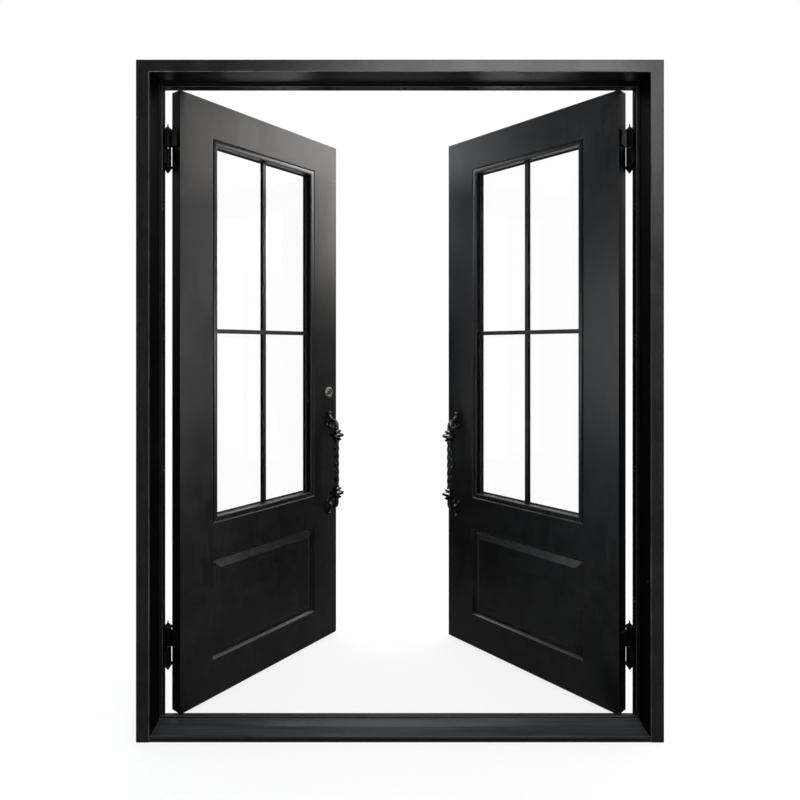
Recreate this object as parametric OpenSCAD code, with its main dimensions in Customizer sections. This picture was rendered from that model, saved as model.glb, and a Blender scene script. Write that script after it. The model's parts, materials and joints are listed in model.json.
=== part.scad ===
// French doors: a pair of glazed steel leaves in a welded steel frame, standing open inwards.
// Millimetres. X runs to the right as seen from outside, Y runs inwards, Z runs up.
// The origin is the middle of the threshold's underside.

/* [Frame] */
// Overall width of the frame
frame_w = 1888; // [1500:1:2300]
// Overall height of the frame
frame_h = 2440; // [2100:1:2700]
// Depth of the jambs and the head
frame_d = 168; // [150:1:220]
// Width of a jamb seen from the front
jamb_face = 48; // [36:1:70]
// Height of the head seen from the front
head_face = 44; // [36:1:70]
// Wall of the steel tube that the frame is welded from
frame_wall = 3; // [2:0.5:5]
// How far the stop bars stand proud of the jambs and the head
stop_proud = 12; // [10:0.5:16]
// Thickness of the stop bars along the depth of the frame
stop_t = 12; // [8:1:18]
// Room for the seal between the stop bars and a closed leaf
seal_space = 5; // [4:0.5:8]
// Radius of the anchor holes in the outer walls of the jambs
anchor_r = 5.5; // [4:0.5:8]
// Radius of the access holes opposite the anchor holes
anchor_access_r = 11; // [9:0.5:14]
// Height of the lowest anchor hole
anchor_first = 450; // [380:10:600]
// Distance from one anchor hole to the next
anchor_pitch = 500; // [300:10:520]
// How many anchor holes a jamb has
anchor_count = 4; // [2:1:4]

/* [Threshold] */
// Height of the flat front of the threshold
sill_front_h = 20; // [16:1:24]
// Depth of the flat front of the threshold
sill_flat_d = 62; // [40:1:76]
// Height of the slope where it meets the upstand
sill_slope_h = 28; // [25:1:32]
// Height of the upstand that the leaves close against
sill_upstand_h = 35; // [33:1:45]
// Height of the base under the closed leaves
sill_base_h = 8; // [6:0.5:10]
// Wall around the threshold's chamber
sill_wall = 4; // [3:0.5:6]

/* [Leaves] */
// Thickness of a leaf
leaf_t = 52; // [46:1:60]
// Gap between a closed leaf and its jamb
hinge_gap = 7; // [6:0.5:10]
// Gap between the two closed leaves
meeting_gap = 7; // [6:0.5:10]
// Gap between a closed leaf and the head
head_gap = 4; // [3:0.5:8]
// Height of the underside of the leaves
leaf_bottom = 14; // [12:0.5:18]
// Width of the stiles
stile_w = 152; // [130:1:180]
// Height of the top rail
top_rail_h = 144; // [110:1:190]
// Height of the lock rail
lock_rail_h = 146; // [110:1:190]
// Height of the bottom rail
bottom_rail_h = 146; // [110:1:190]
// Height of the raised panel's opening
panel_h = 400; // [300:1:460]
// Wall of the tubes that a leaf is welded from
leaf_wall = 2.5; // [2:0.5:4]
// Thickness of the plates that close the ends of the stiles
cap_t = 4; // [3:0.5:8]
// Angle at which the left leaf stands open
left_open = 52.4; // [0:0.1:110]
// Angle at which the right leaf stands open
right_open = 49.2; // [0:0.1:110]

/* [Glazing] */
// Width of the sloped groove between a leaf and the outside bead
groove_w = 5; // [3:0.5:7]
// Depth of that groove
groove_d = 6; // [4:0.5:10]
// Face width of the glazing beads
bead_w = 19; // [14:1:30]
// How far the outside bead lies behind the leaf's face
bead_recess = 1; // [0.5:0.5:3]
// How far the inside bead stands proud of the leaf's face
bead_proud = 4; // [2:0.5:8]
// Depth of the outer pane behind the leaf's outside face
glass_depth = 33; // [28:1:34]
// Thickness of each pane
pane_t = 4; // [3:0.5:5]
// Space between the panes
pane_gap = 6; // [5:0.5:8]
// Clearance around the panes
pane_edge = 2; // [1:0.5:4]
// Width of the spacer between the panes
spacer_w = 8; // [6:0.5:12]
// Face width of the grille's flat bars
muntin_w = 18; // [12:1:30]
// Thickness of the grille's flat bars
muntin_t = 10; // [6:1:16]

/* [Raised panels] */
// Depth of the panel's margin behind the leaf's face
panel_recess = 12; // [8:1:16]
// Width of the slope from the leaf's face down to the margin
panel_slope = 8; // [4:0.5:12]
// Width of the flat margin
panel_margin = 2; // [1:0.5:20]
// Width of the bevel
panel_bevel = 30; // [20:1:50]
// Depth of the raised field behind the leaf's face
panel_field = 3; // [1:0.5:5]
// Step where the bevel meets the field
panel_step = 1.5; // [0.5:0.5:3]
// Thickness of the pressed sheet
panel_t = 3; // [2:0.5:5]

/* [Seals] */
// Width of the seal's base
seal_w = 9; // [6:0.5:9.5]
// Thickness of the seal's base
seal_base_t = 1.5; // [1:0.5:2.5]
// Clearance between a seal and what closes on it
seal_clear = 0.4; // [0.3:0.1:1]
// Thickness of the sweep under a leaf
sweep_t = 8; // [4:0.5:12]
// Distance from the leaf's outside face to the sweep
sweep_in = 5; // [3:0.5:10]

/* [Hinges] */
// Distance from the top of a leaf to the middle of the upper hinge
hinge_from_top = 212; // [150:1:300]
// Distance from the bottom of a leaf to the middle of the lower hinge
hinge_from_bottom = 244; // [150:1:300]
// Radius of the barrel
barrel_r = 13; // [12:0.5:15]
// Length of each knuckle's plain barrel
barrel_h = 66; // [50:1:80]
// Radius of the hinge pin
pin_r = 8; // [6:0.5:9]
// Depth of the pin's hole in each knuckle
pin_seat = 54; // [40:1:56]
// Thickness of the bearing washer
washer_t = 2; // [1.5:0.5:4]
// Height of the pointed finials
finial_h = 28; // [20:1:40]
// Radius of the finials at their rim
finial_r = 17; // [16:0.5:18]
// Height of the finials' rim
finial_rim = 4; // [2:0.5:6]
// Height of the bevel between the barrel and the rim
finial_bevel = 2; // [1:0.5:4]
// Radius of the finials at their tip
finial_tip = 2; // [1:0.5:3]
// Height of the spike on the upper finials
spike_h = 9; // [6:0.5:12]
// Radius of the spike at its foot
spike_r = 3; // [2.5:0.5:4]
// Height of the step under the spike
spike_step = 3; // [2:0.5:4]
// Radius of the step under the spike
spike_step_r = 6; // [5:0.5:8]
// Distance from the pin's axis to the leaf's inside face
knuckle_back = 20; // [19:0.5:26]
// Distance from the jamb to the pin's axis
axis_inset = 2; // [1.5:0.5:2.5]
// Thickness of the wings
wing_t = 5.5; // [4:0.5:5.5]
// How far the wings reach on to the leaf's edge and the jamb
wing_reach = 40; // [25:1:46]
// How much shorter than the barrel the wings are at each end
wing_margin = 2; // [1:0.5:6]

/* [Pulls] */
// Height of the middle of the pulls
pull_z = 852; // [750:1:1000]
// Distance from a leaf's free edge to the middle of its pulls
pull_backset = 60; // [52:1:76]
// Distance from the leaf's face to the middle of the bar
pull_standoff = 58; // [56:1:80]
// Distance between the middles of the two collars
pull_span = 276; // [220:1:340]
// Side of the twisted square bar
bar_side = 18; // [14:0.5:20]
// Twist of the bar in degrees
bar_twist = 540; // [180:30:900]
// Side of the collar's core
collar_core = 20; // [18:0.5:24]
// Height of a collar
collar_h = 54; // [50:1:64]
// Side of a collar's large plate
collar_large = 48; // [40:1:54]
// Side of a collar's small plates
collar_small = 32; // [28:1:38]
// Height of a collar's large plate at its middle
collar_large_h = 18; // [12:1:20]
// Height of a collar's small plates at their middle
collar_small_h = 12; // [8:1:14]
// Height of the large plate at its edge
collar_large_edge = 8; // [4:0.5:10]
// Height of the small plates at their edge
collar_small_edge = 5; // [2:0.5:6]
// Distance from the large plate to a small plate
collar_pitch = 20; // [18:0.5:22]
// Radius of the scrolled arms
arm_r = 8; // [5:0.5:9]
// Straight length of an arm before its scroll
scroll_rise = 19; // [12:1:30]
// Radius of the scroll
scroll_r = 24; // [20:0.5:24]
// Radius of the curl inside the scroll
curl_r = 13; // [11:0.5:14]
// Angle at which the curl ends
curl_end = 300; // [270:1:310]
// Radius of the tail that runs on along the leaf
tail_r = 30; // [26:1:34]
// Distance from the scroll's centre up to the tail's centre
tail_rise = 54; // [50:1:58]
// Angle of the tail's free end
tail_from = 172; // [165:1:180]
// Angle of the tail's end on the scroll
tail_to = 248; // [240:1:252]
// Radius of the balls at the ends of the arms
ball_r = 9; // [8:0.5:10]
// Radius of the foot against the leaf
foot_r = 14; // [12:0.5:20]
// Thickness of the foot
foot_t = 5; // [4:0.5:8]
// Radius of the post between the foot and the scroll
post_r = 8; // [6:0.5:10]

/* [Lock] */
// Height of the deadbolt
lock_z = 1192; // [1150:1:1300]
// Distance from the free edge to the deadbolt's cylinder
lock_backset = 56; // [50:1:70]
// Radius of the outside rose
rose_r = 27.5; // [25:0.5:32]
// Thickness of the outside rose
rose_t = 11; // [8:0.5:16]
// Radius of the cylinder's housing
housing_r = 15; // [12:0.5:18]
// Width of the outside rose's bevel
rose_bevel = 6; // [3:0.5:8]
// Radius of the key plug
plug_r = 8; // [6:0.5:10]
// How far the key plug stands out of the rose
plug_proud = 1; // [0.5:0.5:2]
// Width of the keyway
keyway_w = 2; // [1.5:0.1:3]
// Height of the keyway
keyway_h = 11; // [8:0.5:11]
// Depth of the keyway
keyway_d = 10; // [6:0.5:14]
// Radius of the inside rose
turn_rose_r = 30; // [26:0.5:34]
// Thickness of the inside rose
turn_rose_t = 8; // [6:0.5:12]
// Width of the inside rose's bevel
turn_rose_bevel = 5; // [2:0.5:8]
// Radius of the thumbturn's spindle
spindle_r = 6; // [4:0.5:8]
// Clearance around the spindle in the stile's wall
spindle_clear = 2; // [1:0.5:4]
// Radius of the thumbturn's hub
hub_r = 13; // [10:0.5:18]
// Thickness of the thumbturn's hub
hub_t = 5; // [3:0.5:8]
// Length of the thumbturn's grip
grip_len = 38; // [30:1:50]
// Thickness of the thumbturn's grip
grip_t = 9; // [6:0.5:12]
// How far the thumbturn's grip stands out of its hub
grip_proud = 16; // [12:0.5:22]
// Radius of the bolt
bolt_r = 9; // [7:0.5:10]
// Length of the bolt that stays in its tube when it is thrown
bolt_guide = 35; // [28:1:42]
// Throw of the bolt
bolt_throw = 25; // [18:1:28]
// Chamfer of the bolt's nose
bolt_nose = 2; // [1:0.5:3]
// Wall of the tube that guides the bolt
bolt_tube_wall = 3; // [2:0.5:4]
// How far that tube runs past the back of the bolt
bolt_tube_back = 4; // [2:0.5:8]
// Width of the faceplate and the strike plate
plate_w = 26; // [24:1:34]
// Height of the faceplate and the strike plate
plate_h = 62; // [50:1:90]
// Clearance around the bolt in the strike plate
strike_clear = 2; // [1:0.5:3]

/* [Flush bolts] */
// Radius of the rods
rod_r = 6; // [5:0.5:8]
// Distance from the free edge to the rods
rod_inset = 18; // [14:1:24]
// Distance from the end of the leaf to the thumb piece
rod_reach = 240; // [180:1:300]
// How far inside the leaf the drawn-back rods end
rod_inside = 1; // [0.5:0.5:3]
// Throw of the rods
rod_throw = 14; // [10:0.5:14]
// Height of the thumb piece
thumb_h = 16; // [12:1:24]
// Width of the thumb piece
thumb_w = 10; // [8:0.5:14]
// How far the thumb piece stands out of its plate
thumb_proud = 2; // [1:0.5:2.5]
// Height of the edge plates
edge_plate_h = 110; // [80:1:160]
// Width of the edge plates
edge_plate_w = 22; // [18:1:30]
// Clearance around the rods where they enter the head and the threshold
keeper_clear = 1; // [0.5:0.5:2]
// Width of the keeper in the head
keeper_w = 24; // [20:1:30]

/* [Meeting bar] */
// Width of the meeting bar on its own leaf
meeting_own = 20; // [14:1:24]
// Width of the meeting bar past its leaf's free edge
meeting_lap = 18; // [14:1:24]
// Thickness of the meeting bar
meeting_t = 6; // [4:0.5:10]
// Clearance between the meeting bar and the other leaf
meeting_clear = 1; // [0.5:0.5:2]

/* [Clearances] */
// Radial clearance of pins, rods and bolts that turn or slide
run_clear = 0.05; // [0.03:0.01:0.1]
// Clearance between flat faces that slide past each other
side_clear = 0.3; // [0.3:0.1:0.6]

/* [Hidden] */
$fn = 48;
// Overshoot of cuts
eps = 1;
// Steps along a pull's twisted bar
bar_slices = 60;
black = [0.07, 0.07, 0.075];
black_iron = [0.05, 0.05, 0.052];
bronze = [0.32, 0.30, 0.28];
steel = [0.55, 0.55, 0.56];
rubber = [0.03, 0.03, 0.03];
clear_glass = [0.85, 0.9, 0.9, 0.3];
left = -1;
right = 1;

// The frame, with Y = 0 in the middle of its depth
half_w = frame_w / 2;
inner_x = half_w - jamb_face;
front_y = -frame_d / 2;
back_y = frame_d / 2;
head_z = frame_h - head_face;
stop_back = back_y - leaf_t - seal_space;
stop_front = stop_back - stop_t;
stop_x = inner_x - stop_proud;
anchor_y = back_y - leaf_t / 2;
anchors = [for (i = [0:anchor_count - 1]) anchor_first + i * anchor_pitch];
seal_t = seal_space - seal_clear;
sill_seal_z = (leaf_bottom + sill_upstand_h) / 2;

// A leaf, with X and Y measured from its hinge axis while it is closed
axis_x = inner_x - axis_inset;
axis_y = back_y + knuckle_back;
leaf_w = inner_x - hinge_gap - meeting_gap / 2;
leaf_h = head_z - head_gap - leaf_bottom;
leaf_top = leaf_bottom + leaf_h;
x0 = hinge_gap - axis_inset;
x1 = x0 + leaf_w;
inside_y = -knuckle_back;
outside_y = inside_y - leaf_t;
middle_y = (inside_y + outside_y) / 2;
open_x0 = x0 + stile_w;
open_w = leaf_w - 2 * stile_w;
panel_z0 = leaf_bottom + bottom_rail_h;
lock_rail_z0 = panel_z0 + panel_h;
light_z0 = lock_rail_z0 + lock_rail_h;
light_h = leaf_top - top_rail_h - light_z0;
glass_y = outside_y + glass_depth;
bead_inset = groove_w + bead_w;
hinge_z = [leaf_bottom + hinge_from_bottom, leaf_top - hinge_from_top];
wing_y = inside_y - wing_reach;
wing_end = -(barrel_r + pin_r) / 2;
collar_end = collar_h / 2;
lock_x = x1 - lock_backset;
bolt_len = bolt_guide + bolt_throw;
tube_r = bolt_r + run_clear + bolt_tube_wall;
tube_len = bolt_len + bolt_tube_back;
housing_len = leaf_t / 2 - tube_r - side_clear;
rod_x = x1 - rod_inset;
thumb_z = [leaf_bottom + rod_reach, leaf_top - rod_reach];
edge_plate_z = [thumb_z[0] - rod_throw / 2, thumb_z[1] + rod_throw / 2];

// Places

// Puts a shape drawn for the left side on either side of the frame
module on_side(side) {
    mirror([side == right ? 1 : 0, 0, 0]) children();
}

// Puts a shape drawn around the hinge axis on the frame
module at_axis(side) {
    on_side(side) translate([-axis_x, axis_y, 0]) children();
}

// Puts a shape drawn on a closed leaf on the open one
module on_leaf(side) {
    at_axis(side) rotate([0, 0, side == right ? right_open : left_open]) children();
}

// Local Z runs out of the leaf's outside face
module on_outside(x, z) {
    translate([x, outside_y, z]) rotate([90, 0, 0]) children();
}

// Local Z runs out of the leaf's inside face
module on_inside(x, z) {
    translate([x, inside_y, z]) rotate([-90, 0, 0]) children();
}

// Local Z runs out of the leaf's free edge, and local X runs down it
module on_edge(z) {
    translate([x1, middle_y, z]) rotate([0, 90, 0]) children();
}

// Frame

// Drawn for the left side: a tube cut to a mitre at the head, with anchor and access holes
module jamb() {
    difference() {
        translate([-half_w, front_y, 0]) cube([jamb_face, frame_d, frame_h]);
        translate([-half_w + frame_wall, front_y + frame_wall, -eps])
            cube([jamb_face - 2 * frame_wall, frame_d - 2 * frame_wall, frame_h + 2 * eps]);
        translate([0, back_y + eps, 0]) rotate([90, 0, 0]) linear_extrude(frame_d + 2 * eps)
            polygon([[-half_w, frame_h], [-inner_x, head_z], [-inner_x + eps, head_z],
                     [-inner_x + eps, frame_h + eps], [-half_w, frame_h + eps]]);
        for (z = anchors) {
            translate([-half_w - eps, anchor_y, z]) rotate([0, 90, 0])
                cylinder(r = anchor_r, h = frame_wall + 2 * eps);
            translate([-inner_x - frame_wall - eps, anchor_y, z]) rotate([0, 90, 0])
                cylinder(r = anchor_access_r, h = frame_wall + 2 * eps);
        }
    }
}

module left_jamb() color(black) jamb();
module right_jamb() color(black) on_side(right) jamb();

// A tube cut to a mitre at both ends, with the cut for the upper flush bolt's keeper
module head() color(black) difference() {
    translate([0, back_y, 0]) rotate([90, 0, 0]) linear_extrude(frame_d)
        polygon([[-half_w, frame_h], [half_w, frame_h], [inner_x, head_z], [-inner_x, head_z]]);
    translate([-half_w - eps, front_y + frame_wall, head_z + frame_wall])
        cube([frame_w + 2 * eps, frame_d - 2 * frame_wall, head_face - 2 * frame_wall]);
    keeper_block(head_z - eps, frame_wall + 2 * eps);
}

// Folded profile with a flat front, a slope, an upstand and a low base behind it
module threshold() color(black) difference() {
    rotate([90, 0, 90]) linear_extrude(2 * inner_x, center = true) difference() {
        polygon([[front_y, 0], [front_y, sill_front_h], [front_y + sill_flat_d, sill_front_h],
                 [stop_front, sill_slope_h], [stop_front, sill_upstand_h],
                 [stop_back, sill_upstand_h], [stop_back, sill_base_h],
                 [back_y, sill_base_h], [back_y, 0]]);
        polygon([[front_y + sill_wall, sill_wall],
                 [front_y + sill_wall, sill_front_h - sill_wall],
                 [front_y + sill_flat_d, sill_front_h - sill_wall],
                 [stop_front, sill_slope_h - sill_wall], [stop_front, sill_wall]]);
    }
    at_axis(right) translate([rod_x, middle_y, -eps])
        cylinder(r = rod_r + keeper_clear, h = sill_base_h + 2 * eps);
}

module side_stop() {
    translate([-inner_x, stop_front, sill_upstand_h])
        cube([stop_proud, stop_t, head_z - sill_upstand_h]);
}

module left_stop() color(black) side_stop();
module right_stop() color(black) on_side(right) side_stop();
module head_stop() color(black) translate([-stop_x, stop_front, head_z - stop_proud])
    cube([2 * stop_x, stop_t, stop_proud]);

// Section of a seal: a flat base with a round bulb, standing on X
module seal_section() {
    translate([-seal_w / 2, 0]) square([seal_w, seal_base_t]);
    translate([0, seal_t / 2]) circle(d = seal_t);
}

// Strips behind the stops and behind the threshold's upstand
module frame_seals() color(rubber) {
    for (side = [left, right]) on_side(side)
        translate([-inner_x + stop_proud / 2, stop_back, sill_upstand_h])
            linear_extrude(head_z - sill_upstand_h) seal_section();
    for (z = [sill_seal_z, head_z - stop_proud / 2])
        translate([0, stop_back, z]) rotate([0, 90, 0])
            linear_extrude(2 * stop_x, center = true) seal_section();
}

// Hinges

// Lower knuckle: barrel and finial around a blind hole, with a wing on the jamb
module jamb_knuckle() {
    top = -washer_t / 2;
    base = top - barrel_h;
    rim = base - finial_bevel;
    rotate_extrude() polygon([[0, base - finial_h], [finial_tip, base - finial_h],
        [finial_r, rim - finial_rim], [finial_r, rim], [barrel_r, base], [barrel_r, top],
        [pin_r, top], [pin_r, top - pin_seat], [0, top - pin_seat]]);
    translate([-axis_inset, wing_y, base + wing_margin])
        cube([wing_t, wing_end - wing_y, barrel_h - 2 * wing_margin]);
}

// Upper knuckle: barrel and finial that turn on the pin, with a wing on the leaf's edge
module leaf_knuckle() {
    base = washer_t / 2 + side_clear;
    top = base + barrel_h;
    bore = pin_r + run_clear;
    rim = top + finial_bevel;
    spike = top + finial_h - spike_h;
    rotate_extrude() polygon([[0, top + finial_h], [finial_tip, top + finial_h],
        [spike_r, spike], [spike_step_r, spike - spike_step], [finial_r, rim + finial_rim],
        [finial_r, rim], [barrel_r, top], [barrel_r, base],
        [bore, base], [bore, base + pin_seat], [0, base + pin_seat]]);
    translate([x0 - wing_t, wing_y, base + wing_margin])
        cube([wing_t, wing_end - wing_y, barrel_h - 2 * wing_margin]);
}

module jamb_knuckles(side) {
    for (z = hinge_z) at_axis(side) translate([0, 0, z]) jamb_knuckle();
}

module leaf_knuckles(side) {
    for (z = hinge_z) on_leaf(side) translate([0, 0, z]) leaf_knuckle();
}

module left_jamb_knuckles() color(black_iron) jamb_knuckles(left);
module right_jamb_knuckles() color(black_iron) jamb_knuckles(right);
module left_leaf_knuckles() color(black_iron) leaf_knuckles(left);
module right_leaf_knuckles() color(black_iron) leaf_knuckles(right);

module hinge_pins() color(steel)
    for (side = [left, right], z = hinge_z)
        at_axis(side) translate([0, 0, z - washer_t / 2 - pin_seat])
            cylinder(r = pin_r, h = 2 * pin_seat + washer_t - side_clear);

module hinge_washers() color(bronze)
    for (side = [left, right], z = hinge_z)
        at_axis(side) translate([0, 0, z - washer_t / 2]) difference() {
            cylinder(r = barrel_r, h = washer_t);
            translate([0, 0, -eps]) cylinder(r = pin_r + side_clear, h = washer_t + 2 * eps);
        }

// Tubes of a leaf

module stile(x) {
    difference() {
        translate([x, outside_y, leaf_bottom]) cube([stile_w, leaf_t, leaf_h]);
        translate([x + leaf_wall, outside_y + leaf_wall, leaf_bottom - eps])
            cube([stile_w - 2 * leaf_wall, leaf_t - 2 * leaf_wall, leaf_h + 2 * eps]);
    }
}

module rail(z, h) {
    difference() {
        translate([open_x0, outside_y, z]) cube([open_w, leaf_t, h]);
        translate([open_x0 - eps, outside_y + leaf_wall, z + leaf_wall])
            cube([open_w + 2 * eps, leaf_t - 2 * leaf_wall, h - 2 * leaf_wall]);
    }
}

module left_hinge_stile() color(black) on_leaf(left) stile(x0);
module right_hinge_stile() color(black) on_leaf(right) stile(x0);

// Cut through the free edge's wall for a plate that lies flush in it
module edge_cut(z, h, w) {
    on_edge(z) translate([-h / 2, -w / 2, -leaf_wall - eps]) cube([h, w, leaf_wall + 2 * eps]);
}

// The active leaf's lock stile, cut for the deadbolt
module left_lock_stile() color(black) on_leaf(left) difference() {
    stile(x1 - stile_w);
    edge_cut(lock_z, plate_h, plate_w);
    on_outside(lock_x, lock_z) translate([0, 0, -leaf_wall - eps])
        cylinder(r = housing_r + side_clear, h = leaf_wall + 2 * eps);
    on_inside(lock_x, lock_z) translate([0, 0, -leaf_wall - eps])
        cylinder(r = spindle_r + spindle_clear, h = leaf_wall + 2 * eps);
}

// The other lock stile, cut for the strike plate and the flush bolts
module right_lock_stile() color(black) on_leaf(right) difference() {
    stile(x1 - stile_w);
    edge_cut(lock_z, plate_h, plate_w);
    for (z = edge_plate_z) edge_cut(z, edge_plate_h, edge_plate_w);
}

module top_rail(side) on_leaf(side) rail(leaf_top - top_rail_h, top_rail_h);
module lock_rail(side) on_leaf(side) rail(lock_rail_z0, lock_rail_h);
module bottom_rail(side) on_leaf(side) rail(leaf_bottom, bottom_rail_h);

module left_top_rail() color(black) top_rail(left);
module right_top_rail() color(black) top_rail(right);
module left_lock_rail() color(black) lock_rail(left);
module right_lock_rail() color(black) lock_rail(right);
module left_bottom_rail() color(black) bottom_rail(left);
module right_bottom_rail() color(black) bottom_rail(right);

// Plates that close both ends of both stiles
module stile_caps() {
    for (x = [x0, x1 - stile_w], z = [leaf_bottom, leaf_top - cap_t])
        translate([x + leaf_wall, outside_y + leaf_wall, z])
            cube([stile_w - 2 * leaf_wall, leaf_t - 2 * leaf_wall, cap_t]);
}

module left_stile_caps() color(black) on_leaf(left) stile_caps();
module right_stile_caps() color(black) on_leaf(right) difference() {
    stile_caps();
    translate([rod_x, middle_y, leaf_bottom - eps])
        cylinder(r = rod_r + run_clear, h = leaf_h + 2 * eps);
}

// Glazing

// A block that fills the light's opening, less an inset all round
module light_block(inset, y_from, y_to) {
    translate([open_x0 + inset, y_from, light_z0 + inset])
        cube([open_w - 2 * inset, y_to - y_from, light_h - 2 * inset]);
}

module light_hole(inset) {
    light_block(inset, outside_y - eps, inside_y + bead_proud + eps);
}

// Bead outside the glass, with a slope from the leaf's face down to its groove
module outer_bead(side) on_leaf(side) difference() {
    union() {
        light_block(groove_w, outside_y + bead_recess, outside_y + groove_d);
        light_block(0, outside_y + groove_d, glass_y);
        difference() {
            light_block(0, outside_y, outside_y + groove_d);
            hull() {
                light_block(0, outside_y - eps, outside_y);
                light_block(groove_w, outside_y + groove_d, outside_y + groove_d + eps);
            }
        }
    }
    light_hole(bead_inset);
}

module inner_bead(side) on_leaf(side) difference() {
    light_block(0, glass_y + 2 * pane_t + pane_gap, inside_y + bead_proud);
    light_hole(bead_inset);
}

module outer_pane(side) on_leaf(side) light_block(pane_edge, glass_y, glass_y + pane_t);
module inner_pane(side) on_leaf(side)
    light_block(pane_edge, glass_y + pane_t + pane_gap, glass_y + 2 * pane_t + pane_gap);

module pane_spacer(side) on_leaf(side) difference() {
    light_block(2 * pane_edge, glass_y + pane_t, glass_y + pane_t + pane_gap);
    light_hole(2 * pane_edge + spacer_w);
}

// Flat bars that part the light in four, against the outer pane
module grille(side) on_leaf(side) intersection() {
    light_block(bead_inset, glass_y - muntin_t, glass_y);
    union() {
        translate([open_x0 + open_w / 2 - muntin_w / 2, glass_y - muntin_t, light_z0])
            cube([muntin_w, muntin_t, light_h]);
        translate([open_x0, glass_y - muntin_t, light_z0 + light_h / 2 - muntin_w / 2])
            cube([open_w, muntin_t, muntin_w]);
    }
}

module left_outer_bead() color(black) outer_bead(left);
module right_outer_bead() color(black) outer_bead(right);
module left_inner_bead() color(black) inner_bead(left);
module right_inner_bead() color(black) inner_bead(right);
module left_grille() color(black) grille(left);
module right_grille() color(black) grille(right);
module left_outer_pane() color(clear_glass) outer_pane(left);
module right_outer_pane() color(clear_glass) outer_pane(right);
module left_inner_pane() color(clear_glass) inner_pane(left);
module right_inner_pane() color(clear_glass) inner_pane(right);
module left_pane_spacer() color(steel) pane_spacer(left);
module right_pane_spacer() color(steel) pane_spacer(right);

// Raised panels

// A block that fills a panel's opening, less an inset all round
module panel_block(inset, y_from, y_to) {
    translate([open_x0 + inset, y_from, panel_z0 + inset])
        cube([open_w - 2 * inset, y_to - y_from, panel_h - 2 * inset]);
}

// The bevelled field, drawn on the outside of a leaf
module panel_form() {
    inset = panel_slope + panel_margin;
    margin_y = outside_y + panel_recess;
    field_y = outside_y + panel_field;
    hull() {
        panel_block(inset, margin_y, margin_y + panel_t);
        panel_block(inset + panel_bevel, field_y, field_y + panel_step);
    }
}

// A sheet pressed to that form, with a flat margin and a slope up to the leaf's face
module raised_panel() {
    margin_y = outside_y + panel_recess;
    difference() {
        union() {
            panel_block(0, margin_y, margin_y + panel_t);
            panel_form();
        }
        translate([0, panel_t, 0]) panel_form();
    }
    difference() {
        panel_block(0, outside_y, margin_y);
        hull() {
            panel_block(0, outside_y - eps, outside_y);
            panel_block(panel_slope, margin_y, margin_y + eps);
        }
    }
}

module inside_panel() translate([0, 2 * middle_y, 0]) mirror([0, 1, 0]) raised_panel();

module left_outer_panel() color(black) on_leaf(left) raised_panel();
module right_outer_panel() color(black) on_leaf(right) raised_panel();
module left_inner_panel() color(black) on_leaf(left) inside_panel();
module right_inner_panel() color(black) on_leaf(right) inside_panel();

module sweep(side) on_leaf(side)
    translate([x0, outside_y + sweep_in, sill_base_h + seal_clear])
        cube([leaf_w, sweep_t, leaf_bottom - sill_base_h - seal_clear]);

module left_sweep() color(rubber) sweep(left);
module right_sweep() color(rubber) sweep(right);

// Pulls, drawn with X running out of the leaf's face and Z up from the collar

// A square plate that thins towards its edge
module collar_plate(side, h, edge) {
    translate([-side / 2, -side / 2, -edge / 2]) cube([side, side, edge]);
    for (flip = [0, 1]) mirror([0, 0, flip]) translate([0, 0, edge / 2]) rotate([0, 0, 45])
        cylinder(r1 = side / sqrt(2), r2 = collar_core / sqrt(2), h = (h - edge) / 2, $fn = 4);
}

module collar() {
    translate([-collar_core / 2, -collar_core / 2, -collar_end])
        cube([collar_core, collar_core, collar_h]);
    collar_plate(collar_large, collar_large_h, collar_large_edge);
    for (z = [-collar_pitch, collar_pitch])
        translate([0, 0, z]) collar_plate(collar_small, collar_small_h, collar_small_edge);
}

// A round bar bent to part of a circle in the XZ plane
module arm_arc(centre, radius, from, to) {
    translate([centre[0], 0, centre[1]]) rotate([90, 0, 0]) rotate([0, 0, from])
        rotate_extrude(angle = to - from) translate([radius, 0]) circle(r = arm_r);
}

module arm_ball(centre, radius, angle) {
    translate([centre[0] + radius * cos(angle), 0, centre[1] + radius * sin(angle)])
        sphere(r = ball_r);
}

// Upper bracket: collar, scroll with an inner curl, a tail along the leaf, and the foot
module bracket() {
    scroll = [pull_standoff - scroll_r, collar_end + scroll_rise];
    curl = [pull_standoff - 2 * scroll_r + curl_r, scroll[1]];
    tail = [tail_r + ball_r + side_clear, scroll[1] + tail_rise];
    translate([pull_standoff, 0, 0]) collar();
    translate([pull_standoff, 0, 0]) cylinder(r = arm_r, h = scroll[1]);
    arm_arc(scroll, scroll_r, 0, 180);
    arm_arc(curl, curl_r, 180, curl_end);
    arm_ball(curl, curl_r, curl_end);
    arm_arc(tail, tail_r, tail_from, tail_to);
    arm_ball(tail, tail_r, tail_from);
    arm_ball(tail, tail_r, tail_to);
    translate([0, 0, scroll[1]]) rotate([0, 90, 0]) {
        cylinder(r = foot_r, h = foot_t);
        cylinder(r = post_r, h = pull_standoff - 2 * scroll_r);
    }
}

module pull_bracket_pair() {
    for (flip = [0, 1]) mirror([0, 0, flip]) translate([0, 0, pull_span / 2]) bracket();
}

// The twist runs the same way round on both leaves, though one leaf mirrors the other
module pull_bar(side) {
    len = pull_span - collar_h;
    turn = side == right ? bar_twist : -bar_twist;
    translate([pull_standoff, 0, -len / 2])
        linear_extrude(len, twist = turn, slices = bar_slices, segments = 4)
            square(bar_side, center = true);
}

// Puts a pull's shape on both faces of a leaf
module on_both_faces() {
    translate([x1 - pull_backset, outside_y, pull_z]) rotate([0, 0, -90]) children();
    translate([x1 - pull_backset, inside_y, pull_z]) rotate([0, 0, 90]) children();
}

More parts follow.
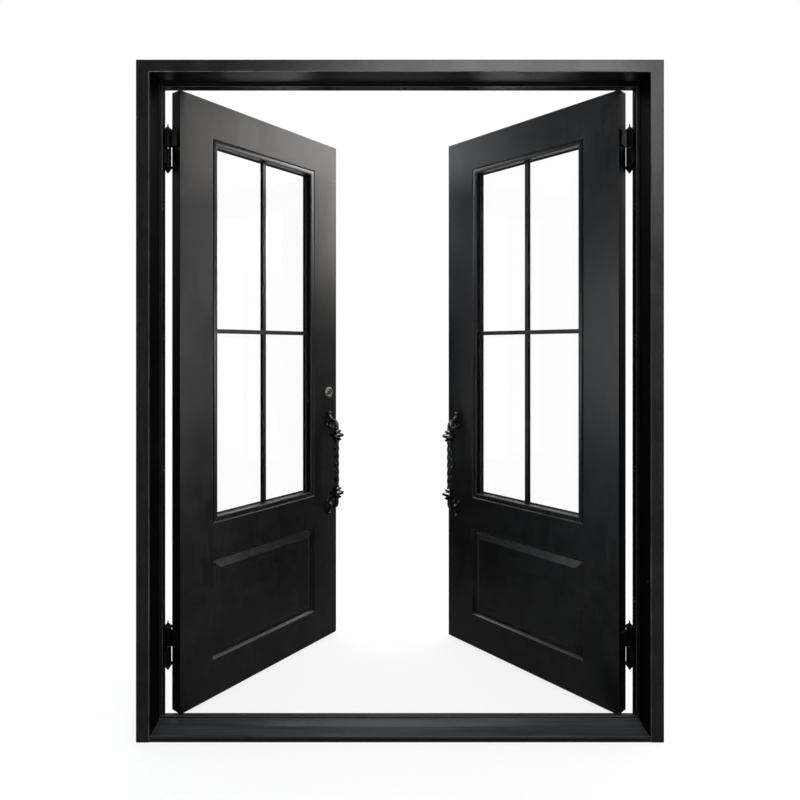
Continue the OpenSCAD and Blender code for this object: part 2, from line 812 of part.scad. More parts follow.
module left_pull_bars() color(black_iron) on_leaf(left) on_both_faces() pull_bar(left);
module right_pull_bars() color(black_iron) on_leaf(right) on_both_faces() pull_bar(right);
module left_pull_brackets() color(black_iron)
    on_leaf(left) on_both_faces() pull_bracket_pair();
module right_pull_brackets() color(black_iron)
    on_leaf(right) on_both_faces() pull_bracket_pair();

// Meeting bar on the active leaf's inside face, lapping the other leaf

module meeting_bar() color(black) on_leaf(left) translate([0, 0, leaf_bottom])
    linear_extrude(leaf_h) polygon([
        [x1 - meeting_own, inside_y], [x1, inside_y], [x1, inside_y + meeting_clear],
        [x1 + meeting_lap, inside_y + meeting_clear],
        [x1 + meeting_lap, inside_y + meeting_t], [x1 - meeting_own, inside_y + meeting_t]]);

// Deadbolt on the active leaf

// Bevelled rose with the cylinder's housing behind it
module deadbolt_rose() color(bronze) on_leaf(left) on_outside(lock_x, lock_z) {
    bore = plug_r + run_clear;
    rotate_extrude() polygon([[bore, -housing_len], [housing_r, -housing_len], [housing_r, 0],
        [rose_r, 0], [rose_r, rose_t / 3], [rose_r - rose_bevel, rose_t], [bore, rose_t]]);
}

module key_plug() color(bronze) on_leaf(left) on_outside(lock_x, lock_z) difference() {
    plug_top = rose_t + plug_proud;
    translate([0, 0, -housing_len]) cylinder(r = plug_r, h = housing_len + plug_top);
    translate([-keyway_w / 2, -keyway_h / 2, plug_top - keyway_d])
        cube([keyway_w, keyway_h, keyway_d + eps]);
}

module thumbturn_rose() color(bronze) on_leaf(left) on_inside(lock_x, lock_z)
    rotate_extrude() polygon([[spindle_r + run_clear, 0], [turn_rose_r, 0],
        [turn_rose_r, turn_rose_t / 2], [turn_rose_r - turn_rose_bevel, turn_rose_t],
        [spindle_r + run_clear, turn_rose_t]]);

// Spindle, hub and grip, with the grip upright while the bolt is drawn back
module thumbturn() color(bronze) on_leaf(left) on_inside(lock_x, lock_z) {
    hub = turn_rose_t + side_clear;
    translate([0, 0, -housing_len]) cylinder(r = spindle_r, h = housing_len + hub + eps);
    translate([0, 0, hub]) cylinder(r = hub_r, h = hub_t);
    translate([0, 0, hub + hub_t - eps]) linear_extrude(grip_proud + eps) {
        square([grip_t, grip_len - grip_t], center = true);
        for (end = [-1, 1]) translate([0, end * (grip_len - grip_t) / 2]) circle(d = grip_t);
    }
}

// Bolt with a chamfered nose, drawn back just behind the faceplate
module deadbolt() color(steel) on_leaf(left) on_edge(lock_z)
    translate([0, 0, -bolt_len - side_clear])
        rotate_extrude() polygon([[0, 0], [bolt_r, 0], [bolt_r, bolt_len - bolt_nose],
            [bolt_r - bolt_nose, bolt_len], [0, bolt_len]]);

// Faceplate with the tube that guides the bolt
module deadbolt_faceplate() color(bronze) on_leaf(left) on_edge(lock_z) difference() {
    union() {
        translate([-plate_h / 2, -plate_w / 2, -leaf_wall]) cube([plate_h, plate_w, leaf_wall]);
        translate([0, 0, -tube_len]) cylinder(r = tube_r, h = tube_len);
    }
    translate([0, 0, -tube_len - eps])
        cylinder(r = bolt_r + run_clear, h = tube_len + 2 * eps);
}

module strike_plate() color(bronze) on_leaf(right) on_edge(lock_z) difference() {
    translate([-plate_h / 2, -plate_w / 2, -leaf_wall]) cube([plate_h, plate_w, leaf_wall]);
    translate([0, 0, -leaf_wall - eps])
        cylinder(r = bolt_r + strike_clear, h = leaf_wall + 2 * eps);
}

// Flush bolts in the other leaf

// Rod and thumb piece, drawn for the top of the leaf from the thumb piece up
module flush_bolt() {
    cylinder(r = rod_r, h = rod_reach - rod_inside);
    translate([0, -thumb_w / 2, -thumb_h / 2])
        cube([rod_inset + thumb_proud, thumb_w, thumb_h]);
}

module flush_bolt_top() color(steel) on_leaf(right)
    translate([rod_x, middle_y, thumb_z[1]]) flush_bolt();
module flush_bolt_bottom() color(steel) on_leaf(right)
    translate([rod_x, middle_y, thumb_z[0]]) mirror([0, 0, 1]) flush_bolt();

// Plates in the free edge, each slotted for its thumb piece
module flush_bolt_plates() color(bronze) on_leaf(right) for (z = edge_plate_z) on_edge(z) {
    slot_h = thumb_h + rod_throw + 2 * side_clear;
    slot_w = thumb_w + 2 * side_clear;
    difference() {
        translate([-edge_plate_h / 2, -edge_plate_w / 2, -leaf_wall])
            cube([edge_plate_h, edge_plate_w, leaf_wall]);
        translate([-slot_h / 2, -slot_w / 2, -leaf_wall - eps])
            cube([slot_h, slot_w, leaf_wall + 2 * eps]);
    }
}

// Outline of the plate that the upper flush bolt enters
module keeper_block(z, h) {
    at_axis(right) translate([rod_x - keeper_w, middle_y - keeper_w / 2, z])
        cube([keeper_w + rod_inset, keeper_w, h]);
}

// That plate, flush in the underside of the head
module head_keeper() color(black_iron) difference() {
    keeper_block(head_z, frame_wall);
    at_axis(right) translate([rod_x, middle_y, head_z - eps])
        cylinder(r = rod_r + keeper_clear, h = frame_wall + 2 * eps);
}

left_jamb();
right_jamb();
head();
threshold();
left_stop();
right_stop();
head_stop();
frame_seals();
left_jamb_knuckles();
right_jamb_knuckles();
hinge_pins();
hinge_washers();
head_keeper();
left_hinge_stile();
left_lock_stile();
left_top_rail();
left_lock_rail();
left_bottom_rail();
left_stile_caps();
left_outer_bead();
left_inner_bead();
left_grille();
left_outer_pane();
left_inner_pane();
left_pane_spacer();
left_outer_panel();
left_inner_panel();
left_sweep();
left_leaf_knuckles();
left_pull_bars();
left_pull_brackets();
right_hinge_stile();
right_lock_stile();
right_top_rail();
right_lock_rail();
right_bottom_rail();
right_stile_caps();
right_outer_bead();
right_inner_bead();
right_grille();
right_outer_pane();
right_inner_pane();
right_pane_spacer();
right_outer_panel();
right_inner_panel();
right_sweep();
right_leaf_knuckles();
right_pull_bars();
right_pull_brackets();
meeting_bar();
deadbolt_rose();
key_plug();
thumbturn_rose();
thumbturn();
deadbolt();
deadbolt_faceplate();
strike_plate();
flush_bolt_top();
flush_bolt_bottom();
flush_bolt_plates();
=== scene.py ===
"""Looks for the french doors: paint, forged pulls, glazing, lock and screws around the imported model."""

import json
import math

import bmesh
import bpy
from mathutils import Matrix, Vector, noise

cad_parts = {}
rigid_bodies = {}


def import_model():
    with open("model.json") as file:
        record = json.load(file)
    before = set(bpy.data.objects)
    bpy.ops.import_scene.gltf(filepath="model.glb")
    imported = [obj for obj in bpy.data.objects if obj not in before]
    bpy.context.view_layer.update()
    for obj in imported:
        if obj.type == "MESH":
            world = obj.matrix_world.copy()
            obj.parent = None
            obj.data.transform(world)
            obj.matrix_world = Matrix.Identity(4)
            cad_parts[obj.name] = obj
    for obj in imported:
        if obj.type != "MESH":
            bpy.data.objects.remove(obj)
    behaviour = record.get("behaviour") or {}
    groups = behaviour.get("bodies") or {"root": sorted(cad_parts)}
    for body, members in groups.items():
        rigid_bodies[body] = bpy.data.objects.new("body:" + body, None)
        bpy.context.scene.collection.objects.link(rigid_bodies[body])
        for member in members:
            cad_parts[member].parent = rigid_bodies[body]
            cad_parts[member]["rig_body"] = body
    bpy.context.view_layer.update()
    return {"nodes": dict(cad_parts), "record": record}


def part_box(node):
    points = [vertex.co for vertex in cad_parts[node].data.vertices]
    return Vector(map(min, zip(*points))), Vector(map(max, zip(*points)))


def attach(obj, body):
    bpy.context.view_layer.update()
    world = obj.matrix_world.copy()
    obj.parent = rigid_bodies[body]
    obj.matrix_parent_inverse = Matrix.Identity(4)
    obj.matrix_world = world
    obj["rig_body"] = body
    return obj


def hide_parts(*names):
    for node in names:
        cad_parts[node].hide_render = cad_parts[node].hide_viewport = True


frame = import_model()
nodes = frame["nodes"]
scene = bpy.context.scene
scene.view_settings.view_transform = "Standard"

# Sizes shared with the part, in metres and radians
LEAF_TURN = {"left": math.radians(52.4), "right": math.radians(49.2)}
AXIS_X = 0.894
AXIS_Y = 0.104
LEAF_EDGE = 0.8905
OUTSIDE_Y = -0.072
INSIDE_Y = -0.020
MIDDLE_Y = (OUTSIDE_Y + INSIDE_Y) / 2
PULL_X = LEAF_EDGE - 0.060
PULL_Z = 0.852
PULL_STANDOFF = 0.058
PULL_SPAN = 0.276
COLLAR_H = 0.054
BAR_SIDE = 0.018
BAR_TWIST = math.radians(540)
SCROLL_R = 0.024
SCROLL_Z = 0.046
CURL_R = 0.013
CURL_END = math.radians(300)
TAIL_X = 0.0393
TAIL_Z = 0.100
TAIL_R = 0.030
TAIL_FROM = math.radians(172)
TAIL_TO = math.radians(248)
BALL_R = 0.009
LIGHT_X = (0.157, 0.7385)
LIGHT_Z = (0.706, 2.248)
BEAD_INSET = 0.024
NOSING = 0.005
GLASS_OUT_Y = -0.039
GLASS_IN_Y = -0.025
SPACER_INSET = 0.012
SHADOW_BAR_W = 0.016
SHADOW_BAR_T = 0.0056
LOCK_X = 0.8345
LOCK_Z = 1.192
TURN_ROSE_T = 0.008
FRAME_X = 0.944
FRAME_Y = 0.084
FRAME_Z = 2.440
OPENING_X = 0.896
OPENING_Z = 2.396
ANCHORS = (0.45, 0.95, 1.45, 1.95)
ANCHOR_Y = 0.058
ANCHOR_R = 0.0055
ACCESS_R = 0.011
JAMB_WALL = 0.003
KEEPER_POCKET = 0.030

# Sizes of the finer shapes, in metres
LEAF_ARRIS = 0.0015
FRAME_ARRIS = 0.003
SHADOW_BAR_ARRIS = 0.0006
BAR_CORNER_R = 0.0022
COLLAR_CORNER_R = 0.0016
SCROLL_ROD = (0.0092, 0.0070)
TAIL_ROD = (0.0088, 0.0064)
DENT_DEPTH = 0.0003
DENTS_PER_METRE = 90
BEAD_RECESS = 0.0010
SCREW_R = 0.0036
SCREW_SLOT = 0.0005
SCREW_INSET = 0.008
ROSE_SCREW_X = 0.019
OVERCUT = 0.001


def leaf_matrix(side):
    """Carries a point on a closed leaf, measured from its hinge axis, to the open leaf."""
    turn = Matrix.Rotation(LEAF_TURN[side], 4, "Z")
    place = Matrix.Translation((-AXIS_X, AXIS_Y, 0))
    flip = Matrix.Diagonal((-1 if side == "right" else 1, 1, 1, 1))
    return flip @ place @ turn


# Materials, with colours as linear RGB

PAINT_DARK = (0.0014, 0.0014, 0.0016)
PAINT_LIGHT = (0.0056, 0.0059, 0.0065)
# Darker colour of edges and reveals, a painted shade
PAINT_FLANK_SHADE = (0.0004, 0.0004, 0.0005)
# Greys of the sill's upward faces, a painted light from above
SILL_DARK = (0.009, 0.0098, 0.011)
SILL_LIGHT = (0.036, 0.039, 0.043)
# Greys of the arrises, partly scuffed paint and partly painted highlight; the frame's grey is the brighter
LEAF_WEAR_AND_HIGHLIGHT = 0.045
FRAME_WEAR_AND_HIGHLIGHT = 0.20
BRUSH_LENGTH = 0.22
BRUSH_WIDTH = 0.007
IRON_WORN = (0.030, 0.029, 0.028)
BRONZE_DARK = (0.14, 0.133, 0.126)
BRONZE_LIGHT = (0.22, 0.208, 0.195)
BRONZE_WORN = (0.40, 0.38, 0.35)
STEEL_DARK = (0.48, 0.48, 0.49)
STEEL_LIGHT = (0.60, 0.60, 0.61)
RUBBER_DARK = (0.009, 0.009, 0.009)
RUBBER_LIGHT = (0.018, 0.018, 0.018)
GLASS_IOR = 1.15


class Maker:
    """Builds one node material around its Principled shader."""

    def __init__(self, name, turn=0.0):
        self.material = bpy.data.materials.new(name)
        self.material.use_nodes = True
        self.tree = self.material.node_tree
        self.shader = self.tree.nodes["Principled BSDF"]
        self.turn = turn
        coords = self.add("ShaderNodeTexCoord")
        self.object_coords = coords.outputs["Object"]
        self.object_normal = coords.outputs["Normal"]

    def add(self, kind, **settings):
        node = self.tree.nodes.new(kind)
        for key, value in settings.items():
            setattr(node, key, value)
        return node

    def link(self, source, target):
        self.tree.links.new(source, target)

    def set(self, **values):
        for key, value in values.items():
            self.shader.inputs[key.replace("_", " ")].default_value = value

    def features(self, size):
        """Coordinates in which one unit is a feature of this size along each axis of the piece."""
        mapping = self.add("ShaderNodeMapping", vector_type="TEXTURE")
        mapping.inputs["Rotation"].default_value = (0, 0, self.turn)
        mapping.inputs["Scale"].default_value = size
        self.link(self.object_coords, mapping.inputs["Vector"])
        return mapping.outputs["Vector"]

    def noise(self, size, detail=3.0, roughness=0.5, distortion=0.0):
        node = self.add("ShaderNodeTexNoise")
        node.inputs["Scale"].default_value = 1.0
        node.inputs["Detail"].default_value = detail
        node.inputs["Roughness"].default_value = roughness
        node.inputs["Distortion"].default_value = distortion
        self.link(self.features(size), node.inputs["Vector"])
        return node.outputs["Fac"]

    def cells(self, size):
        node = self.add("ShaderNodeTexVoronoi", feature="SMOOTH_F1")
        node.inputs["Scale"].default_value = 1.0
        self.link(self.features(size), node.inputs["Vector"])
        return node.outputs["Distance"]

    def fit(self, source, low, high, to_low, to_high):
        node = self.add("ShaderNodeMapRange")
        node.inputs["From Min"].default_value = low
        node.inputs["From Max"].default_value = high
        node.inputs["To Min"].default_value = to_low
        node.inputs["To Max"].default_value = to_high
        self.link(source, node.inputs["Value"])
        return node.outputs["Result"]

    def math(self, operation, first, second):
        node = self.add("ShaderNodeMath", operation=operation)
        for socket, value in zip(node.inputs, (first, second)):
            if isinstance(value, (int, float)):
                socket.default_value = value
            else:
                self.link(value, socket)
        return node.outputs["Value"]

    def blend(self, *parts):
        """Adds up parts of (source, share)."""
        total = 0.0
        for source, share in parts:
            total = self.math("ADD", self.math("MULTIPLY", source, share), total)
        return total

    def mix(self, factor, first, second):
        node = self.add("ShaderNodeMix", data_type="RGBA")
        self.link(factor, node.inputs["Factor"])
        for name, value in (("A", first), ("B", second)):
            socket = [s for s in node.inputs if s.name == name and s.type == "RGBA"][0]
            if isinstance(value, tuple):
                socket.default_value = (*value, 1)
            else:
                self.link(value, socket)
        return [s for s in node.outputs if s.type == "RGBA"][0]

    def arrises(self):
        """1 on rounded arrises, where a face of the piece looks along none of its axes."""
        c, s = math.cos(self.turn), math.sin(self.turn)
        most = 0.0
        for axis in ((c, s, 0), (-s, c, 0), (0, 0, 1)):
            most = self.math("MAXIMUM", self.math("ABSOLUTE", self.facing(axis), 0.0), most)
        return self.fit(most, 0.93, 0.80, 0.0, 1.0)

    def edges(self, radius):
        """1 on arrises, falling to 0 on flat faces."""
        bevel = self.add("ShaderNodeBevel", samples=4)
        bevel.inputs["Radius"].default_value = radius
        geometry = self.add("ShaderNodeNewGeometry")
        dot = self.add("ShaderNodeVectorMath", operation="DOT_PRODUCT")
        self.link(bevel.outputs["Normal"], dot.inputs[0])
        self.link(geometry.outputs["True Normal"], dot.inputs[1])
        return self.fit(dot.outputs["Value"], 1.0, 0.8, 0.0, 1.0)

    def facing(self, axis):
        """How squarely a face of the piece looks along an axis, from -1 to 1."""
        dot = self.add("ShaderNodeVectorMath", operation="DOT_PRODUCT")
        self.link(self.object_normal, dot.inputs[0])
        dot.inputs[1].default_value = axis
        return dot.outputs["Value"]

    def bump(self, *layers):
        """Layers of (height, depth in metres)."""
        normal = None
        for height, depth in layers:
            node = self.add("ShaderNodeBump")
            node.inputs["Strength"].default_value = 1.0
            node.inputs["Distance"].default_value = depth
            self.link(height, node.inputs["Height"])
            if normal is not None:
                self.link(normal, node.inputs["Normal"])
            normal = node.outputs["Normal"]
        self.link(normal, self.shader.inputs["Normal"])

    def colour(self, source):
        self.link(source, self.shader.inputs["Base Color"])

    def roughness(self, source):
        self.link(source, self.shader.inputs["Roughness"])

    def specular(self, source):
        self.link(source, self.shader.inputs["Specular IOR Level"])


def paint(name, along, turn=0.0, rubbed=0.0, wear_and_highlight=LEAF_WEAR_AND_HIGHLIGHT):
    """Satin black paint, brushed out along one axis of the piece, and lighter at the arrises, partly as scuffed
    paint and partly as a painted highlight.

    Faces that look along the piece's X axis, such as edges and reveals, are left matte and darkened as painted
    shade.
    A sill is a lighter grey on faces that look up, a painted light from above, with scuff streaks in the grey.
    """
    m = Maker(name, turn)
    streak = m.noise(tuple(BRUSH_LENGTH if axis == along else BRUSH_WIDTH for axis in "xyz"), 1.5, 0.5)
    cloud = m.noise((0.10, 0.10, 0.14), 4.0, 0.55, 0.3)
    blotch = m.noise((0.030, 0.030, 0.042), 3.0, 0.55)
    grit = m.noise((0.006, 0.006, 0.010), 2.0, 0.5)
    peel = m.noise((0.0024, 0.0024, 0.0024), 2.0)
    wave = m.noise((0.05, 0.05, 0.07), 2.0, 0.5)
    tone = m.blend((streak, 0.16), (grit, 0.22), (cloud, 0.26), (blotch, 0.36))
    # Faces that look along the piece's X axis are made matte, and their darker colour is painted shade
    sideways = m.math("ABSOLUTE", m.facing((math.cos(turn), math.sin(turn), 0)), 0.0)
    matte_and_shaded = m.fit(sideways, 0.55, 0.92, 0.0, 1.0)
    body = m.mix(m.fit(tone, 0.43, 0.66, 0.0, 1.0), PAINT_DARK, PAINT_LIGHT)
    # Arrises turn a lighter grey, partly scuffed paint and partly a painted highlight along the arris
    lighter_edges = m.math("MULTIPLY", m.arrises(), m.fit(cloud, 0.35, 0.65, 0.25, 0.90))
    body = m.mix(lighter_edges, body, (wear_and_highlight, wear_and_highlight, wear_and_highlight))
    rough = m.fit(m.blend((streak, 0.24), (grit, 0.26), (cloud, 0.50)), 0.40, 0.66, 0.29, 0.39)
    # Faces that look up turn a streaky grey, a painted light from above with scuff streaks
    if rubbed:
        scuff = m.noise((0.40, 0.0035, 0.0035), 4.0, 0.6)
        top = m.fit(m.facing((0, 0, 1)), 0.5, 0.9, 0.0, rubbed)
        grey = m.mix(m.fit(scuff, 0.38, 0.62, 0.0, 1.0), SILL_DARK, SILL_LIGHT)
        body = m.mix(top, body, grey)
        rough = m.math("ADD", rough, m.math("MULTIPLY", top, 0.12))
    m.colour(m.mix(matte_and_shaded, body, PAINT_FLANK_SHADE))
    m.roughness(m.math("ADD", rough, m.math("MULTIPLY", matte_and_shaded, 0.30)))
    m.specular(m.fit(matte_and_shaded, 0.0, 1.0, 0.38, 0.04))
    m.bump((peel, 0.00002), (wave, 0.00022), (streak, 0.00003))
    return m.material


def iron(name, dark, light, smooth, coarse, specular):
    """Blackened wrought iron with hammer marks."""
    m = Maker(name)
    marks = m.cells((0.008, 0.008, 0.008))
    grain = m.noise((0.0016, 0.0016, 0.0016), 3.0, 0.6)
    cloud = m.noise((0.03, 0.03, 0.03), 3.0)
    body = m.mix(m.fit(cloud, 0.3, 0.7, 0.0, 1.0), dark, light)
    lighter_edges = m.math("MULTIPLY", m.edges(0.0010), m.fit(cloud, 0.35, 0.65, 0.1, 0.6))
    m.colour(m.mix(lighter_edges, body, IRON_WORN))
    m.roughness(m.fit(grain, 0.3, 0.7, smooth, coarse))
    m.set(Specular_IOR_Level=specular)
    m.bump((marks, 0.00022), (grain, 0.00004))
    return m.material


def bronze():
    """Dark satin bronze of the lock and its plates."""
    m = Maker("bronze_satin")
    grain = m.noise((0.0009, 0.0009, 0.012), 3.0, 0.6)
    cloud = m.noise((0.012, 0.012, 0.012), 3.0)
    body = m.mix(m.fit(cloud, 0.3, 0.7, 0.0, 1.0), BRONZE_DARK, BRONZE_LIGHT)
    lighter_edges = m.math("MULTIPLY", m.edges(0.0008), 0.5)
    m.colour(m.mix(lighter_edges, body, BRONZE_WORN))
    m.roughness(m.fit(grain, 0.3, 0.7, 0.30, 0.46))
    m.set(Metallic=1.0)
    m.bump((grain, 0.00004))
    return m.material


def steel():
    """Brushed steel of pins, washers and spacers."""
    m = Maker("steel_brushed")
    grain = m.noise((0.0006, 0.0006, 0.02), 3.0, 0.6)
    m.colour(m.mix(m.fit(grain, 0.3, 0.7, 0.0, 1.0), STEEL_DARK, STEEL_LIGHT))
    m.roughness(m.fit(grain, 0.3, 0.7, 0.24, 0.40))
    m.set(Metallic=1.0)
    m.bump((grain, 0.00003))
    return m.material


def rubber():
    """Matte rubber of seals, sweeps and gaskets."""
    m = Maker("rubber_matte")
    grain = m.noise((0.0012, 0.0012, 0.0012), 3.0, 0.6)
    m.colour(m.mix(m.fit(grain, 0.3, 0.7, 0.0, 1.0), RUBBER_DARK, RUBBER_LIGHT))
    m.roughness(m.fit(grain, 0.3, 0.7, 0.62, 0.82))
    m.set(Specular_IOR_Level=0.3)
    m.bump((grain, 0.0001))
    return m.material


def glass():
    """Clear float glass with the faintest smears."""
    m = Maker("glass_clear")
    smear = m.noise((0.10, 0.10, 0.22), 4.0, 0.6, 1.2)
    m.roughness(m.fit(smear, 0.45, 0.8, 0.0, 0.02))
    m.set(Base_Color=(1.0, 1.0, 1.0, 1), Transmission_Weight=1.0, IOR=GLASS_IOR)
    return m.material


def give(obj, material):
    obj.data.materials.clear()
    obj.data.materials.append(material)


LEAF_ANGLE = {"left": LEAF_TURN["left"], "right": -LEAF_TURN["right"]}
PAINT = {
    "frame_up": paint("black_paint_frame_up", "z", wear_and_highlight=FRAME_WEAR_AND_HIGHLIGHT),
    "frame_across": paint("black_paint_frame_across", "x", wear_and_highlight=FRAME_WEAR_AND_HIGHLIGHT),
}
for leaf_side in ("left", "right"):
    PAINT[leaf_side + "_up"] = paint(f"black_paint_{leaf_side}_up", "z", LEAF_ANGLE[leaf_side])
    PAINT[leaf_side + "_across"] = paint(f"black_paint_{leaf_side}_across", "x", LEAF_ANGLE[leaf_side])
PAINT["sill"] = paint("black_paint_sill", "x", rubbed=1.0)
FINISH = {
    "black_iron": iron("black_iron_forged", (0.0008, 0.0008, 0.0009), (0.0040, 0.0039, 0.0038),
                       smooth=0.14, coarse=0.24, specular=0.6),
    "bronze": bronze(), "steel": steel(), "rubber": rubber(), "glass": glass(),
}
HINGE_IRON = iron("black_iron_hinge", (0.0005, 0.0005, 0.0005), (0.0020, 0.0020, 0.0020),
                  smooth=0.50, coarse=0.62, specular=0.08)

ACROSS = ("head", "rail", "panel", "caps", "grille")
slots = {part["node"]: part["material_slot"] for part in frame["record"]["subparts"]}
for name, obj in nodes.items():
    if "knuckles" in name:
        give(obj, HINGE_IRON)
    elif name == "threshold":
        give(obj, PAINT["sill"])
    elif slots[name] in FINISH:
        give(obj, FINISH[slots[name]])
    else:
        where = obj["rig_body"].removesuffix("_leaf") if obj["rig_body"].endswith("_leaf") else "frame"
        give(obj, PAINT[where + ("_across" if any(word in name for word in ACROSS) else "_up")])


# Rounded arrises

WELD = 1e-5
SHARP = 0.6
FLUSH = math.radians(0.5)


def soften(obj, width, segments=2):
    """Rounds the arrises of a piece."""
    bevel = obj.modifiers.new("arris", "BEVEL")
    bevel.width = width
    bevel.segments = segments
    bevel.limit_method = "ANGLE"
    bevel.angle_limit = SHARP
    bevel.harden_normals = True


ARRIS = {
    "stop": 0.0010, "threshold": 0.0020, "bead": 0.0006, "grille": 0.0008,
    "panel": 0.0010, "meeting_bar": 0.0010, "rose": 0.0006, "plug": 0.0004, "thumbturn": 0.0010,
    "plate": 0.0005, "bolt": 0.0005,
}
for name, obj in nodes.items():
    widths = [width for word, width in ARRIS.items() if word in name]
    if widths and "knuckles" not in name:
        weld = obj.modifiers.new("weld", "WELD")
        weld.merge_threshold = WELD
        soften(obj, widths[0])


# New pieces

def piece(name, bm, body, material, replaced=()):
    """Turns a finished shape into a piece that rides on a body."""
    bmesh.ops.recalc_face_normals(bm, faces=bm.faces)
    mesh = bpy.data.meshes.new(name)
    bm.to_mesh(mesh)
    bm.free()
    mesh.shade_smooth()
    mesh.set_sharp_from_angle(angle=SHARP)
    obj = bpy.data.objects.new(name, mesh)
    scene.collection.objects.link(obj)
    give(obj, material)
    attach(obj, body)
    if replaced:
        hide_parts(*replaced)
    return obj


def merge(bm, part, matrix):
    """Moves a part into place and adds it to a shape."""
    part.transform(matrix)
    mesh = bpy.data.meshes.new("part")
    part.to_mesh(mesh)
    part.free()
    bm.from_mesh(mesh)
    bpy.data.meshes.remove(mesh)


def local_copy(name, matrix):
    """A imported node's shape in the leaf's own axes, welded and snapped to a hundredth of a millimetre."""
    bm = bmesh.new()
    bm.from_mesh(nodes[name].data)
    bm.transform(matrix.inverted())
    for vert in bm.verts:
        vert.co = [round(c, 5) for c in vert.co]
    bmesh.ops.remove_doubles(bm, verts=bm.verts, dist=WELD)
    bmesh.ops.recalc_face_normals(bm, faces=bm.faces)
    return bm


def combined(shapes, operation):
    """Joins the later shapes to the first or cuts them out of it."""
    objects = []
    for bm in shapes:
        mesh = bpy.data.meshes.new("operand")
        bm.to_mesh(mesh)
        bm.free()
        operand = bpy.data.objects.new("operand", mesh)
        scene.collection.objects.link(operand)
        objects.append(operand)
    for operand in objects[1:]:
        step = objects[0].modifiers.new("combine", "BOOLEAN")
        step.operation = operation
        step.solver = "EXACT"
        step.object = operand
    graph = bpy.context.evaluated_depsgraph_get()
    whole = bpy.data.meshes.new_from_object(objects[0].evaluated_get(graph))
    bm = bmesh.new()
    bm.from_mesh(whole)
    bmesh.ops.remove_doubles(bm, verts=bm.verts, dist=WELD)
    for operand in objects:
        mesh = operand.data
        bpy.data.objects.remove(operand)
        bpy.data.meshes.remove(mesh)
    bpy.data.meshes.remove(whole)
    return bm


def weldment(names, matrix):
    """Joins tubes into one shape with no seams where they meet flush."""
    bm = combined([local_copy(name, matrix) for name in names], "UNION")
    bmesh.ops.dissolve_limit(bm, angle_limit=FLUSH, verts=bm.verts, edges=bm.edges)
    bm.transform(matrix)
    return bm


TUBES = ("hinge_stile", "top_rail", "lock_rail", "bottom_rail", "lock_stile")
for side in ("left", "right"):
    names = [f"{side}_{tube}" for tube in TUBES]
    leaf = piece(f"{side}_leaf_frame", weldment(names, leaf_matrix(side)), f"{side}_leaf",
                 PAINT[side + "_up"], names)
    soften(leaf, LEAF_ARRIS)


# Surround: jambs and head welded and ground flush

def rod_along_x(x_from, x_to, y, z, radius):
    bm = bmesh.new()
    place = Matrix.Translation(((x_from + x_to) / 2, y, z)) @ Matrix.Rotation(math.pi / 2, 4, "Y")
    bmesh.ops.create_cone(bm, cap_ends=True, segments=32, radius1=radius, radius2=radius,
                          depth=abs(x_to - x_from), matrix=place)
    return bm


def block(low, high):
    bm = bmesh.new()
    size = [h - l for l, h in zip(low, high)]
    middle = [(l + h) / 2 for l, h in zip(low, high)]
    bmesh.ops.create_cube(bm, size=1, matrix=Matrix.Translation(middle) @ Matrix.Diagonal((*size, 1)))
    return bm


def surround():
    """Jambs and head as one solid, with holes for the anchors and a pocket for the head's keeper."""
    outline = [(-FRAME_X, 0), (-OPENING_X, 0), (-OPENING_X, OPENING_Z), (OPENING_X, OPENING_Z),
               (OPENING_X, 0), (FRAME_X, 0), (FRAME_X, FRAME_Z), (-FRAME_X, FRAME_Z)]
    bm = bmesh.new()
    front, back = ([bm.verts.new((x, y, z)) for x, z in outline] for y in (-FRAME_Y, FRAME_Y))
    bm.faces.new(front)
    bm.faces.new(back[::-1])
    for i in range(len(outline)):
        j = (i + 1) % len(outline)
        bm.faces.new((front[j], front[i], back[i], back[j]))
    bmesh.ops.recalc_face_normals(bm, faces=bm.faces)
    arrises = [e for e in bm.edges if e.is_convex and max(v.co.z for v in e.verts) > FRAME_ARRIS]
    bmesh.ops.bevel(bm, geom=arrises, offset=FRAME_ARRIS, segments=3, profile=0.5, affect="EDGES")
    cuts = []
    for side in (-1, 1):
        for z in ANCHORS:
            cuts.append(rod_along_x(side * (OPENING_X - OVERCUT), side * (FRAME_X - JAMB_WALL),
                                    ANCHOR_Y, z, ACCESS_R))
            cuts.append(rod_along_x(side * (FRAME_X - JAMB_WALL - 2 * OVERCUT), side * (FRAME_X + OVERCUT),
                                    ANCHOR_Y, z, ANCHOR_R))
    low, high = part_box("head_keeper")
    cuts.append(block((low[0], low[1], low[2] - OVERCUT), (high[0], high[1], high[2] + KEEPER_POCKET)))
    return combined([bm] + cuts, "DIFFERENCE")


frame_piece = piece("frame_surround", surround(), "frame", PAINT["frame_up"],
                    ["left_jamb", "right_jamb", "head"])
frame_piece.modifiers.new("flat_faces", "WEIGHTED_NORMAL").keep_sharp = True


# Forged pulls, drawn with X running out of the leaf's face and Z up

def ring_faces(bm, rings, close_ends=True):
    """Skins a row of rings that have as many points each."""
    rows = [[bm.verts.new(point) for point in ring] for ring in rings]
    for low, high in zip(rows, rows[1:]):
        for i in range(len(low)):
            j = (i + 1) % len(low)
            bm.faces.new((low[i], low[j], high[j], high[i]))
    if close_ends:
        bm.faces.new(rows[0][::-1])
        bm.faces.new(rows[-1])


def rounded_square(half, radius, steps=4):
    """Corner points of a square with rounded corners, in order."""
    points = []
    for corner in range(4):
        for step in range(steps + 1):
            angle = math.pi / 2 * (corner + step / steps)
            middle = math.pi / 2 * corner + math.pi / 4
            reach = (half - radius) * math.sqrt(2)
            points.append((reach * math.cos(middle) + radius * math.cos(angle),
                           reach * math.sin(middle) + radius * math.sin(angle)))
    return points


